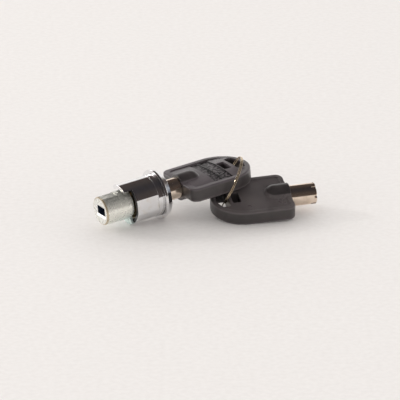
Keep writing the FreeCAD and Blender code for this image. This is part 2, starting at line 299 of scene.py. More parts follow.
def moved(piece: Piece, offset: Sequence[float], angle: float = 0.0) -> Piece:
    """Piece shifted and then turned about the X axis by degrees, in its mesh."""
    piece.data.transform(Matrix.Rotation(math.radians(angle), 4, "X") @ Matrix.Translation(Vector(offset)))
    return piece


def modify(piece: Piece, kind: str, **settings: object) -> None:
    """Add a modifier.

    Args:
        piece: Object that gets it.
        kind: Blender's modifier type.
        settings: Its properties.
    """
    modifier = piece.modifiers.new(kind.lower(), kind)
    for key, value in settings.items():
        setattr(modifier, key, value)


def settle(piece: Piece) -> Piece:
    """Turn a piece's modifiers into plain mesh.

    Args:
        piece: Object with modifiers.

    Returns:
        The same object, with no modifiers.
    """
    bpy.context.view_layer.update()
    graph = bpy.context.evaluated_depsgraph_get()
    mesh = bpy.data.meshes.new_from_object(
        piece.evaluated_get(graph), preserve_all_data_layers=True, depsgraph=graph)
    piece.modifiers.clear()
    spent = piece.data
    piece.data = mesh
    bpy.data.meshes.remove(spent)
    return piece


def combine(piece: Piece, tools: Iterable[Piece], how: Carve) -> Piece:
    """Cut, join or trim a piece with other shapes, which are used up.

    Args:
        piece: Shape that is kept.
        tools: Shapes that work on it.
        how: What they do to it.

    Returns:
        The same object with its new mesh.
    """
    spent = list(tools)
    for tool in spent:
        modify(piece, "BOOLEAN", operation=how.value, solver="EXACT", object=tool)
    settle(piece)
    for tool in spent:
        mesh = tool.data
        bpy.data.objects.remove(tool)
        bpy.data.meshes.remove(mesh)
    return piece


def ease_edges(piece: Piece, width: float, segments: int = 2, angle: float = 16.0) -> Piece:
    """Small rounding on every edge that turns more than an angle.

    Args:
        piece: Shape with sharp edges.
        width: Width of the rounding in millimetres.
        segments: Faces across it.
        angle: Least turn, in degrees, that counts as an edge.

    Returns:
        The same object.
    """
    sketch = bmesh.new()
    sketch.from_mesh(piece.data)
    bmesh.ops.dissolve_degenerate(sketch, edges=sketch.edges, dist=1e-4)
    sketch.to_mesh(piece.data)
    sketch.free()
    modify(piece, "BEVEL", width=width, segments=segments, limit_method="ANGLE",
           angle_limit=math.radians(angle), use_clamp_overlap=True, harden_normals=False)
    return settle(piece)


def shade(piece: Piece, angle: float = 40.0) -> Piece:
    """Smooth shading that keeps flats flat.

    Args:
        piece: Finished shape.
        angle: Least turn, in degrees, of an edge that stays sharp.

    Returns:
        The same object.
    """
    piece.data.shade_smooth()
    piece.data.set_sharp_from_angle(angle=math.radians(angle))
    modify(piece, "WEIGHTED_NORMAL", keep_sharp=True, weight=80)
    return settle(piece)


def melt(piece: Piece, grain: float, passes: int) -> Piece:
    """Even mesh with softly rounded edges, as a moulding has.

    Args:
        piece: Closed shape.
        grain: Size of the new faces in millimetres.
        passes: Rounds of smoothing.

    Returns:
        The same object.
    """
    modify(piece, "REMESH", mode="VOXEL", voxel_size=grain)
    modify(piece, "SMOOTH", factor=0.5, iterations=passes)
    settle(piece)
    piece.data.shade_smooth()
    return piece


def seat(piece: Piece, place: Place, finish: "Finish", body: str, nodes: Sequence[str]) -> None:
    """Put a finished piece in the set.

    Args:
        piece: Piece drawn in millimetres in its own frame.
        place: Where its frame lies.
        finish: What it is made of.
        body: Body that it moves with.
        nodes: Solids that it stands for.
    """
    piece.data.transform(place.matrix())
    piece.data.materials.clear()
    piece.data.materials.append(finish.material())
    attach(piece, body)
    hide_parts(*nodes)
    log.info("%s: %d faces on %s", piece.name, len(piece.data.polygons), body)


# Node trees


class Net:
    """Helper that lays out a node tree."""

    def __init__(self, tree: bpy.types.NodeTree) -> None:
        """Take the tree that gets the nodes."""
        self.tree = tree

    def feed(self, socket: Socket, value: object) -> None:
        """Link or set an input.

        Args:
            socket: The input.
            value: Socket that is linked to it, or its value, a colour with three numbers.
        """
        if isinstance(value, Socket):
            self.tree.links.new(value, socket)
        elif socket.type == "RGBA":
            socket.default_value = (*value, 1.0)
        else:
            socket.default_value = value

    def dress(self, node: bpy.types.Node, **settings: object) -> bpy.types.Node:
        """Give a node its settings.

        Args:
            node: Node that gets them.
            settings: Values by the input's name, with underscores for blanks, or else properties.

        Returns:
            The same node.
        """
        for key, value in settings.items():
            socket = node.inputs.get(key.replace("_", " "))
            if socket is None:
                setattr(node, key, value)
            else:
                self.feed(socket, value)
        return node

    def add(self, kind: str, **settings: object) -> bpy.types.Node:
        """New node of one of Blender's types, with its settings."""
        return self.dress(self.tree.nodes.new(kind), **settings)

    def maths(self, how: Maths, *values: object) -> Socket:
        """Result of a scalar operation.

        Args:
            how: The operation.
            values: Sockets or numbers that it works on.

        Returns:
            The result's socket.
        """
        node = self.add("ShaderNodeMath", operation=how.value)
        for socket, value in zip(node.inputs, values):
            self.feed(socket, value)
        return node.outputs["Value"]

    def both(self, *shares: Socket) -> Socket:
        """Product of shares.

        Args:
            shares: Sockets with values from 0 to 1.

        Returns:
            The product's socket.
        """
        product = shares[0]
        for share in shares[1:]:
            product = self.maths(Maths.TIMES, product, share)
        return product

    def span(self, value: Socket, band: Band, low: float = 0.0, high: float = 1.0) -> Socket:
        """Value moved from a band to a range and held inside it.

        Args:
            value: The value.
            band: Values that become low and high.
            low: Result up to the band's first value.
            high: Result from its second value on.

        Returns:
            The result's socket.
        """
        return self.add("ShaderNodeMapRange", Value=value, From_Min=band[0], From_Max=band[1],
                        To_Min=low, To_Max=high).outputs["Result"]

    def zone(self, *limits: tuple[Socket, Band]) -> Socket:
        """Share that is 1 where every value has passed its band, and 0 where one hasn't reached it."""
        return self.both(*(self.span(value, band) for value, band in limits))

    def ramp(self, value: Socket, stops: Stops) -> Socket:
        """Colour from a value.

        Args:
            value: The value, from 0 to 1.
            stops: Positions with their colours.

        Returns:
            The colour's socket.
        """
        node = self.add("ShaderNodeValToRGB", Fac=value)
        elements = node.color_ramp.elements
        while len(elements) < len(stops):
            elements.new(0.5)
        for element, (position, colour) in zip(elements, stops):
            element.position = position
            element.color = (*colour, 1.0)
        return node.outputs["Color"]


class Paint(Net):
    """Node tree of a material."""

    def __init__(self, name: str, place: Place | None = None) -> None:
        """Make the material and the coordinates of its pattern.

        Args:
            name: Name of the material.
            place: Place whose frame the pattern follows, or None for the set's own frame.
        """
        self.material = bpy.data.materials.new(name)
        self.material.use_nodes = True
        super().__init__(self.material.node_tree)
        self.shader = self.tree.nodes["Principled BSDF"]
        self.where = self.add("ShaderNodeTexCoord").outputs["Object"]
        if place is not None:
            self.where = self.add("ShaderNodeMapping", vector_type="TEXTURE", Vector=self.where,
                                  Location=place.origin, Rotation=place.angles()).outputs["Vector"]

    def parts(self) -> list[Socket]:
        """X, Y and Z in the pattern's frame, in metres."""
        return list(self.add("ShaderNodeSeparateXYZ", Vector=self.where).outputs)

    def radius(self) -> Socket:
        """Distance from the X axis, in metres."""
        flat = self.add("ShaderNodeMapping", Vector=self.where, Scale=(0.0, 1.0, 1.0)).outputs["Vector"]
        return self.add("ShaderNodeVectorMath", operation="LENGTH", Vector=flat).outputs["Value"]

    def noise(self, scale: float, detail: float, stretch: Triple | None = None) -> Socket:
        """Noise from 0 to 1.

        Args:
            scale: Cells per metre.
            detail: Finer octaves.
            stretch: Factors along X, Y and Z, where the pattern is drawn out.

        Returns:
            The value's socket.
        """
        vector = self.where
        if stretch is not None:
            vector = self.add("ShaderNodeMapping", Vector=vector, Scale=stretch).outputs["Vector"]
        return self.add("ShaderNodeTexNoise", Vector=vector, Scale=scale, Detail=detail).outputs["Fac"]

    def mix(self, share: Socket, first: Socket | Colour, second: Socket | Colour) -> Socket:
        """Colour between two colours.

        Args:
            share: Share of the second colour.
            first: Colour at share 0.
            second: Colour at share 1.

        Returns:
            The colour's socket.
        """
        node = self.add("ShaderNodeMix", data_type="RGBA", Factor=share)
        colours = [socket for socket in node.inputs if socket.type == "RGBA"]
        for socket, value in zip(colours, (first, second)):
            self.feed(socket, value)
        return next(socket for socket in node.outputs if socket.type == "RGBA")

    def bump(self, height: Socket, depth: float, strength: float) -> None:
        """Relief on the shader's normal.

        Args:
            height: Pattern from 0 to 1.
            depth: Height of the relief in metres.
            strength: Share of it that shows.
        """
        node = self.add("ShaderNodeBump", Height=height, Distance=depth, Strength=strength)
        self.dress(self.shader, Normal=node.outputs["Normal"])


class WireTree(Net):
    """Geometry node tree that makes a piece of round wire."""

    def __init__(self, name: str, finish: "Finish", sizes: dict[str, float]) -> None:
        """Make the tree with its named inputs.

        Args:
            name: Name of the tree.
            finish: What the wire is made of.
            sizes: Values of its inputs by name, of which Wire is the wire's radius.
        """
        super().__init__(bpy.data.node_groups.new(name, "GeometryNodeTree"))
        self.values: dict[str, object] = {**sizes, "Material": finish.material()}
        sockets = [(label, "INPUT", "NodeSocketFloat") for label in sizes]
        sockets += [("Material", "INPUT", "NodeSocketMaterial"), ("Geometry", "OUTPUT", "NodeSocketGeometry")]
        for label, side, kind in sockets:
            self.tree.interface.new_socket(label, in_out=side, socket_type=kind)
        self.given = self.add("NodeGroupInput").outputs

    def sweep(self, curve: Socket, sides: int) -> Socket:
        """Wire along a curve.

        Args:
            curve: Middle of the wire.
            sides: Faces around it.

        Returns:
            The mesh's socket.
        """
        profile = self.add("GeometryNodeCurvePrimitiveCircle", Resolution=sides, Radius=self.given["Wire"])
        return self.add("GeometryNodeCurveToMesh", Curve=curve, Profile_Curve=profile.outputs["Curve"],
                        Fill_Caps=True).outputs["Mesh"]

    def piece(self, name: str, geometry: Socket) -> Piece:
        """End the tree and make its piece.

        Args:
            name: Name of the object.
            geometry: What the tree has made.

        Returns:
            The new object as a plain mesh, with no modifier.
        """
        solid = self.add("GeometryNodeRealizeInstances", Geometry=geometry).outputs["Geometry"]
        dressed = self.add("GeometryNodeSetMaterial", Geometry=solid, Material=self.given["Material"])
        self.add("NodeGroupOutput", Geometry=dressed.outputs["Geometry"])
        piece = as_object(name, bpy.data.meshes.new(name))
        modifier = piece.modifiers.new("made", "NODES")
        modifier.node_group = self.tree
        for item in self.tree.interface.items_tree:
            if item.item_type == "SOCKET" and item.in_out == "INPUT":
                modifier[item.identifier] = self.values[item.name]
        settle(piece)
        piece.data.shade_smooth()
        return piece


# Finishes


@dataclass(frozen=True, kw_only=True)
class Finish:
    """Finish of a piece.

    Args:
        slot: Material slot of the record.
        place: Place whose frame the pattern follows, or None for the set's own frame.
        cloud: Values of the broad noise between which the roughness changes.
        rough: Roughness at those two values.
    """

    slot: str
    place: Place | None = None
    cloud: Band = (0.3, 0.7)
    rough: Band

    def name(self) -> str:
        """Name of the material."""
        return f"{self.slot}_{type(self).__name__}"

    def material(self) -> bpy.types.Material:
        """Material of this finish, made once and shared."""
        found = bpy.data.materials.get(self.name())
        if found is None:
            paint = Paint(self.name(), self.place)
            self.lay_out(paint)
            found = paint.material
        return found

    def lay_out(self, paint: Paint) -> None:
        """Lay out the material's nodes."""
        raise NotImplementedError


@dataclass(frozen=True, kw_only=True)
class PlainMetal(Finish):
    """Metal that is dull in cloudy patches.

    Args:
        colour: Colour of the metal.
        dull: Colour of its dull patches.
        cells: Cells per metre of the patches.
        detail: Their finer octaves.
        patches: Values of the noise where a patch starts and where it is whole.
        share: Share of the dull colour in a whole patch.
        grain: Cells per metre, depth in metres and strength of the relief.
    """

    colour: Colour
    dull: Colour
    cells: float
    detail: float
    patches: Band
    share: float
    grain: Triple

    def lay_out(self, paint: Paint) -> None:
        """Lay out the material's nodes.

        Args:
            paint: The material's node tree.
        """
        cloud = paint.noise(self.cells, self.detail)
        tint = paint.mix(paint.span(cloud, self.patches, 0.0, self.share), self.colour, self.dull)
        paint.dress(paint.shader, Base_Color=tint, Metallic=1.0,
                    Roughness=paint.span(cloud, self.cloud, *self.rough))
        cells, depth, strength = self.grain
        paint.bump(paint.noise(cells, 2.0), depth, strength)


@dataclass(frozen=True, kw_only=True)
class NickelPlate(PlainMetal):
    """Warm bright plate."""

    slot: str = "nickel_plate"
    colour: Colour = (0.86, 0.73, 0.61)
    dull: Colour = (0.64, 0.52, 0.41)
    cells: float = 320.0
    detail: float = 4.0
    patches: Band = (0.45, 0.75)
    share: float = 0.7
    rough: Band = (0.10, 0.20)
    grain: Triple = (1500.0, 0.00001, 0.4)


@dataclass(frozen=True, kw_only=True)
class Brass(PlainMetal):
    """Brass that has darkened in patches."""

    slot: str = "brass"
    colour: Colour = (0.34, 0.25, 0.12)
    dull: Colour = (0.14, 0.10, 0.05)
    cells: float = 500.0
    detail: float = 5.0
    patches: Band = (0.4, 0.7)
    share: float = 1.0
    rough: Band = (0.22, 0.36)
    grain: Triple = (1200.0, 0.00001, 0.5)


@dataclass(frozen=True, kw_only=True)
class SpringSteel(PlainMetal):
    """Bright drawn wire with a warm cast and dull patches."""

    slot: str = "spring_steel"
    colour: Colour = (0.80, 0.67, 0.49)
    dull: Colour = (0.42, 0.33, 0.22)
    cells: float = 160.0
    detail: float = 2.0
    patches: Band = (0.42, 0.7)
    share: float = 0.8
    rough: Band = (0.05, 0.13)
    grain: Triple = (2500.0, 0.000003, 0.2)


@dataclass(frozen=True, kw_only=True)
class ChromePlate(Finish):
    """Bright plate with a faint ripple, a speckled blue-grey patch on the flange's taper, and painted shade on the
    rear face.

    Args:
        colour: Colour of the plate.
        stain: Colour of its faint stains.
        dark: Colour of the painted shade on the rear face, round the recess that holds the nose.
        haze: Colour of the speckled blue-grey patch on the taper.
        taper: Stations between which the flange's taper starts.
        rim: Radii between which the patch starts.
        upper: Heights between which it starts.
        top: Heights between which it ends.
        side: Places across the lock between which it starts.
        rear: Stations between which the painted shade on the rear face starts.
        rear_end: Stations between which it ends.
        rear_rim: Radii between which it ends.
    """

    slot: str = "chrome_plate"
    rough: Band = (0.04, 0.11)
    colour: Colour = (0.82, 0.82, 0.83)
    stain: Colour = (0.72, 0.67, 0.60)
    dark: Colour = (0.035, 0.032, 0.032)
    haze: Colour = (0.19, 0.215, 0.26)
    taper: Band = (0.0011, 0.0014)
    rim: Band = (0.0100, 0.0102)
    upper: Band = (-0.0005, 0.0005)
    top: Band = (0.0070, 0.0060)
    side: Band = (-0.0010, -0.0030)
    rear: Band = (-0.01310, -0.01318)
    rear_end: Band = (-0.01345, -0.01338)
    rear_rim: Band = (0.00912, 0.00905)

    def lay_out(self, paint: Paint) -> None:
        """Lay out the material's nodes.

        Args:
            paint: The material's node tree.
        """
        along, across, height = paint.parts()
        radius = paint.radius()
        cloud = paint.noise(420.0, 5.0)
        tint = paint.mix(paint.span(cloud, (0.52, 0.78), 0.0, 0.7), self.colour, self.stain)
        # A speckled blue-grey patch on the taper, above the axis and on the lock's -Y side.
        patch = paint.zone((along, self.taper), (radius, self.rim), (height, self.upper),
                           (height, self.top), (across, self.side))
        tint = paint.mix(paint.both(patch, paint.span(cloud, (0.35, 0.6), 0.75)), tint, self.haze)
        # Painted shade: the rear face is darkened and made less metallic.
        face = paint.zone((along, self.rear), (along, self.rear_end), (radius, self.rear_rim))
        tint = paint.mix(face, tint, self.dark)
        paint.dress(paint.shader, Base_Color=tint, Metallic=paint.span(face, (0.0, 1.0), 1.0, 0.2),
                    Roughness=paint.span(cloud, self.cloud, *self.rough))
        paint.bump(paint.noise(700.0, 3.0), 0.00002, 0.5)


@dataclass(frozen=True, kw_only=True)
class ZincPlate(Finish):
    """Cream and grey-green plate, with a painted dark reflection on its upper side, bluish towards the washer,
    painted shade round its end and in the socket, and a painted highlight on the socket's flare.

    Args:
        cream: Colour of the plate.
        green: Colour of its cloudy patches.
        grey: Colour of the painted dark reflection on the upper side, in mottled patches.
        blue: Colour of the lower side, most so near the washer.
        tip: Colour of the end face.
        brown: Colour of the painted shade on the end face's rounded edge.
        shade: Colour of the painted shade inside the socket.
        bare: Colour of the painted highlight on the socket's flare.
        upper: Heights between which the upper side starts.
        lower: Heights between which the lower side starts.
        washer: Stations between which the blue grows.
        end: Stations between which the end face starts.
        edge: Stations between which its edge starts.
        rim: Radii between which its edge starts.
        socket: Half widths, half heights and stations between which the socket starts.
        flare: Half widths, half heights and stations between which its flare starts.
    """

    slot: str = "zinc"
    rough: Band = (0.26, 0.31)
    cream: Colour = (0.88, 0.87, 0.80)
    green: Colour = (0.70, 0.72, 0.65)
    grey: Colour = (0.22, 0.22, 0.20)
    blue: Colour = (0.58, 0.76, 0.76)
    tip: Colour = (0.73, 0.73, 0.69)
    brown: Colour = (0.42, 0.33, 0.20)
    shade: Colour = (0.016, 0.024, 0.045)
    bare: Colour = (0.90, 0.90, 0.88)
    upper: Band = (0.0026, 0.0050)
    lower: Band = (-0.0010, -0.0060)
    washer: Band = (-0.0240, -0.0160)
    end: Band = (-0.02675, -0.02685)
    edge: Band = (-0.0262, -0.0266)
    rim: Band = (0.0057, 0.0060)
    socket: tuple[Band, ...] = ((0.0037, 0.0036), (0.0022, 0.0021), (-0.02668, -0.02662))
    flare: tuple[Band, ...] = ((0.0043, 0.0041), (0.00285, 0.0027), (-0.02712, -0.02700))

    def lay_out(self, paint: Paint) -> None:
        """Lay out the material's nodes.

        Args:
            paint: The material's node tree.
        """
        along, across, height = paint.parts()
        spread = (paint.maths(Maths.SIZE, across), paint.maths(Maths.SIZE, height), along)
        cloud = paint.noise(900.0, 5.0)
        base = paint.mix(paint.span(cloud, (0.35, 0.7), 0.0, 0.3), self.cream, self.green)
        # Painted dark reflection: the upper side is greyed in mottled patches.
        painted_dark_top = paint.both(paint.span(height, self.upper), paint.span(cloud, (0.35, 0.6), 0.35, 0.85))
        base = paint.mix(painted_dark_top, base, self.grey)
        near = paint.both(paint.span(height, self.lower), paint.span(along, self.washer, 0.1, 0.6))
        base = paint.mix(near, base, self.blue)
        base = paint.mix(paint.span(along, self.end, 0.0, 0.85), base, self.tip)
        # Painted shade: a brown line along the rounded edge of the end face.
        ring = paint.both(paint.span(along, self.edge), paint.span(paint.radius(), self.rim, 0.0, 0.8))
        base = paint.mix(ring, base, self.brown)
        # Painted shade: the inside of the socket is dark and not metallic.
        deep = paint.zone(*zip(spread, self.socket))
        base = paint.mix(deep, base, self.shade)
        # Painted highlight: the socket's flare is made almost white.
        cut = paint.zone(*zip(spread, self.flare))
        base = paint.mix(paint.both(cut, paint.span(deep, (0.0, 1.0), 1.0, 0.0)), base, self.bare)
        paint.dress(paint.shader, Base_Color=base, Metallic=paint.span(deep, (0.0, 1.0), 0.58, 0.0),
                    Roughness=paint.span(cloud, self.cloud, *self.rough))
        paint.bump(paint.noise(2600.0, 3.0, (0.6, 1.0, 1.0)), 0.00003, 0.2)


@dataclass(frozen=True, kw_only=True)
class BlackPlastic(Finish):
    """Satin moulded plastic with a fine grain and rub marks, dirt and a painted sheen on its faces, painted light
    on the plain face, and a coarse grain in the panel's fields with painted shade along their edges.

    Args:
        number: Number of the key.
        colour: Colour of the plastic.
        worn: Colour of its rubbed patches.
        dusty: Colour of the two faces in dirt patches, lightened and tinted purple-grey as a painted sheen.
        pale: Colour of the plain face in the same patches, lighter still as painted light.
        sunk: Colour of the low places in the panel: its grain's spots and the painted shade along its fields'
            edges.
        start: Stations between which the panel starts.
        end: Stations between which it ends.
        sides: Half widths between which it starts.
        upper: Heights between which its face starts.
        face: Distances from the middle plane between which a face starts.
        boss: Distances from the middle plane between which the boss stands clear of it.
        plain: Heights between which the plain face's side starts.
        creases: Stations of the lines of painted shade beside the panel's fields.
        crease: Distances from such a line between which it starts.
    """

    slot: str = "black_plastic"
    rough: Band = (0.26, 0.38)
    number: int = 1
    colour: Colour = (0.029, 0.0245, 0.0245)
    worn: Colour = (0.048, 0.040, 0.039)
    dusty: Colour = (0.090, 0.075, 0.082)
    pale: Colour = (0.100, 0.086, 0.084)
    sunk: Colour = (0.008, 0.007, 0.007)
    start: Band = (0.0132, 0.0134)
    end: Band = (0.0220, 0.0218)
    sides: Band = (0.0116, 0.0114)
    upper: Band = (0.0022, 0.0023)
    face: Band = (0.0019, 0.0027)
    boss: Band = (0.0042, 0.0039)
    plain: Band = (-0.0010, -0.0012)
    creases: tuple[float, ...] = (0.0133, 0.0166, 0.0175, 0.0219)
    crease: Band = (0.00034, 0.00018)

    def name(self) -> str:
        """Name of the material, one for each key."""
        return f"{super().name()}_{self.number}"

    def lay_out(self, paint: Paint) -> None:
        """Lay out the material's nodes.

        Args:
            paint: The material's node tree.
        """
        along, across, height = paint.parts()
        away = paint.maths(Maths.SIZE, height)
        cloud = paint.noise(160.0, 5.0)
        dust_sheen_mask = paint.span(paint.noise(70.0, 3.0), (0.35, 0.65), 0.35)
        faces = paint.zone((away, self.face), (away, self.boss))
        tint = paint.mix(paint.span(cloud, (0.4, 0.72)), self.colour, self.worn)
        # Dirt patches on the two faces, lightened and tinted as a painted sheen.
        tint = paint.mix(paint.both(faces, dust_sheen_mask), tint, self.dusty)
        # Painted light: the plain face is lightened further in the same patches.
        tint = paint.mix(paint.both(faces, paint.span(height, self.plain), dust_sheen_mask), tint, self.pale)
        inside = paint.zone((paint.maths(Maths.SIZE, across), self.sides), (height, self.upper))
        panel = paint.both(paint.zone((along, self.start), (along, self.end)), inside)
        spots = paint.both(panel, paint.span(paint.noise(1050.0, 2.0), (0.42, 0.58)))
        low = spots
        # Painted shade: dark lines along the edges of the panel's sunk fields.
        for station in self.creases:
            gap = paint.maths(Maths.SIZE, paint.maths(Maths.TAKE, along, station))
            low = paint.maths(Maths.MOST, low, paint.both(paint.span(gap, self.crease), inside))
        paint.dress(paint.shader, Base_Color=paint.mix(low, tint, self.sunk),
                    Roughness=paint.span(cloud, self.cloud, *self.rough),
                    Specular_IOR_Level=paint.span(low, (0.0, 1.0), 0.6, 0.15))
        fine = paint.span(paint.noise(5200.0, 3.0), (0.0, 1.0), 0.0, 0.1)
        paint.bump(paint.maths(Maths.ADD, fine, spots), 0.0003, 0.8)


# Lock


@dataclass
class LockShell:
    """Flange, collar, flatted barrel and stop tongue."""

    flange_radius: float = 11.3
    flange_thickness: float = 3.4
    flange_land: float = 1.0
    flange_taper: float = 1.2
    flange_rounds: Triple = (0.12, 0.3, 0.35)
    collar_radius: float = 9.5
    radius: float = 9.3
    length: float = 13.3
    across_flats: float = 17.3
    collar: float = 2.6
    relief_width: float = 0.5
    relief_depth: float = 0.35
    relief_round: float = 0.06
    chamber_radius: float = 6.9
    mouth_radius: float = 4.8
    mouth_lip: float = 0.6
    mouth_round: float = 0.2
    recess_radius: float = 7.5
    recess_depth: float = 1.3
    tongue: float = 4.0
    tongue_half_angle: int = 34
    tongue_step: int = 4
    edge: float = 0.3
    easing: float = 0.12

    def shell(self) -> Piece:
        """Turned blank with its stepped bore."""
        end = -self.length - self.tongue
        floor = -self.length + self.recess_depth
        lip = self.flange_thickness - self.mouth_lip
        front = self.flange_radius - self.flange_taper
        neck = self.collar_radius - self.relief_depth
        rear_round, side_round, front_round = self.flange_rounds
        return lathe("lock_case", [
            (end, self.recess_radius, 0),
            (end, self.radius, self.edge),
            (-self.collar, self.radius, self.relief_round),
            (-self.collar, self.collar_radius, self.relief_round),
            (-self.relief_width, self.collar_radius, self.relief_round),
            (-self.relief_width, neck, self.relief_round),
            (0, neck, self.relief_round),
            (0, self.flange_radius, rear_round),
            (self.flange_land, self.flange_radius, side_round),
            (self.flange_thickness, front, front_round),
            (self.flange_thickness, self.mouth_radius, self.mouth_round),
            (lip, self.mouth_radius, 0),
            (lip, self.chamber_radius, 0),
            (floor, self.chamber_radius, 0),
            (floor, self.recess_radius, 0),
        ], 224)

    def away(self) -> list[Piece]:
        """Shapes that are cut off: the flats and the rear end beside the tongue."""
        beyond = -self.length - self.tongue - 1
        outside = self.radius + 1
        flat = self.across_flats / 2
        right = block("flat", (beyond, flat, -outside), (-self.collar, outside, outside))
        left = block("flat", (beyond, -outside, -outside), (-self.collar, -flat, outside))
        start = self.tongue_half_angle
        angles = [math.radians(angle) for angle in range(start, 361 - start, self.tongue_step)]
        loops = [[Vector((x, 0, 0))] + [around(x, 2 * outside, angle) for angle in angles]
                 for x in (beyond, -self.length)]
        return [left, right, skin("beside tongue", loops)]

    def build(self) -> None:
        """Make the shell and put it in the set."""
        body = combine(self.shell(), self.away(), Carve.TAKE)
        ease_edges(body, self.easing, 3)
        seat(shade(body), lock_place(), ChromePlate(place=lock_place()), "lock", ["lock_body"])


@dataclass
class DriveNose:
    """Round nose with two shallow flats and a flared drive socket, and the washer behind it."""

    washer_front: float = -13.5
    washer_thickness: float = 1.05
    washer_radius: float = 6.0
    washer_step: int = 5
    tab_radius: float = 9.5
    tab_half_angle: float = 26.0
    tab_steps: int = 16
    radius: float = 6.6
    length: float = 12.6
    gap: float = 0.02
    step: float = 0.2
    tip_round: float = 0.5
    base_round: float = 0.2
    step_round: float = 0.1
    flat_depth: float = 0.55
    flat_length: float = 7.7
    socket_width: float = 6.7
    socket_height: float = 3.8
    socket_depth: float = 8.0
    flare: float = 0.85
    flare_depth: float = 0.5
    flare_start: Pair = (0.3, 1.6)
    tenon_across: float = 3.84
    shaft_radius: float = 2.62
    easing: float = 0.12

    def socket(self, tip: float) -> Piece:
        """Shape of the drive socket, wider at its mouth.

        Args:
            tip: Station of the nose's end.

        Returns:
            The shape, which stands out past the end.
        """
        out, growth = self.flare_start
        loops = []
        for station, spread in ((tip - out, self.flare * growth), (tip + self.flare_depth, 0.0),
                                (tip + self.socket_depth, 0.0)):
            wide = self.socket_width / 2 + spread
            tall = self.socket_height / 2 + spread
            corners = ((-wide, -tall), (wide, -tall), (wide, tall), (-wide, tall))
            loops.append([Vector((station, y, z)) for y, z in corners])
        return skin("socket", loops)

    def nose(self) -> Piece:
        """The nose with its socket."""
        base = self.washer_front - self.washer_thickness - self.gap
        tip = base - self.length
        shoulder = tip + self.flat_length
        nose = lathe("drive_nose_dressed", [
            (tip, 0, 0),
            (tip, self.radius - self.step, self.tip_round),
            (shoulder, self.radius - self.step, self.step_round),
            (shoulder, self.radius, self.step_round),
            (base, self.radius, self.base_round),
            (base, 0, 0),
        ], 192, 6)
        flat = self.radius - self.flat_depth
        outside = self.radius + 2
        below = block("nose flat", (tip - 1, -outside, -outside), (shoulder, outside, -flat))
        above = block("nose flat", (tip - 1, -outside, flat), (shoulder, outside, outside))
        combine(nose, [below, above, self.socket(tip)], Carve.TAKE)
        return shade(ease_edges(nose, self.easing, 3, 14))

    def washer(self) -> Piece:
        """Washer with its stop tab."""
        back = self.washer_front - self.washer_thickness
        low = 180 - self.tab_half_angle
        high = 180 + self.tab_half_angle
        plain = range(0, 360, self.washer_step)
        rim = [(angle, self.washer_radius) for angle in [*(a for a in plain if a < low - 1), low]]
        rest = [(angle, self.washer_radius) for angle in [high, *(a for a in plain if a > high + 1)]]
        tab = [(low + (high - low) * step / self.tab_steps, self.tab_radius)
               for step in range(self.tab_steps + 1)]
        loops = [[around(x, radius, math.radians(angle)) for angle, radius in rim + tab + rest]
                 for x in (back, self.washer_front)]
        washer = skin("stop_washer_dressed", loops)
        hole = rod("hole", self.shaft_radius, back - 1, self.washer_front + 1, 64)
        flats = block("flats", (back - 1, -4, -self.tenon_across / 2),
                      (self.washer_front + 1, 4, self.tenon_across / 2))
        combine(washer, [combine(hole, [flats], Carve.KEEP)], Carve.TAKE)
        return shade(ease_edges(washer, self.easing, 3, 20))

    def build(self) -> None:
        """Make the nose and the washer and put them in the set."""
        place = lock_place()
        zinc = ZincPlate(place=place)
        seat(self.nose(), place, zinc, "plug", ["drive_nose"])
        seat(self.washer(), place, zinc, "plug", ["stop_washer"])


@dataclass
class PinSprings:
    """Coil springs behind the driver pins."""

    circle: float = 4.75
    radius: float = 0.66
    wire: float = 0.1
    start: float = -11.18
    length: float = 5.1
    turns: float = 8.0
    wire_sides: int = 8
    runs_per_turn: int = 20

    def coils(self, finish: Finish) -> Piece:
        """One coil wound in a node tree, with a copy at each pin.

        Args:
            finish: What the wire is made of.

        Returns:
            The coils, with their axes along Z.
        """
        tree = WireTree("pin springs", finish, {
            "Circle": self.circle, "Radius": self.radius, "Wire": self.wire,
            "Length": self.length, "Turns": self.turns})
        given = tree.given
        coil = tree.add("GeometryNodeCurveSpiral", Resolution=self.runs_per_turn, Rotations=given["Turns"],
                        Start_Radius=given["Radius"], End_Radius=given["Radius"], Height=given["Length"])
        circle = tree.add("GeometryNodeMeshCircle", Vertices=PIN_COUNT, Radius=given["Circle"])
        copies = tree.add("GeometryNodeInstanceOnPoints", Points=circle.outputs["Mesh"],
                          Instance=tree.sweep(coil.outputs["Curve"], self.wire_sides))
        return tree.piece("pin_springs", copies.outputs["Instances"])

    def build(self) -> None:
        """Wind the springs, lay them along the lock and put them in the set."""
        finish = SpringSteel()
        piece = self.coils(finish)
        piece.data.transform(Matrix(((0, 0, 1, self.start), (0, -1, 0, 0), (1, 0, 0, 0), (0, 0, 0, 1))))
        seat(piece, lock_place(), finish, "lock", numbered("spring"))


# Keys


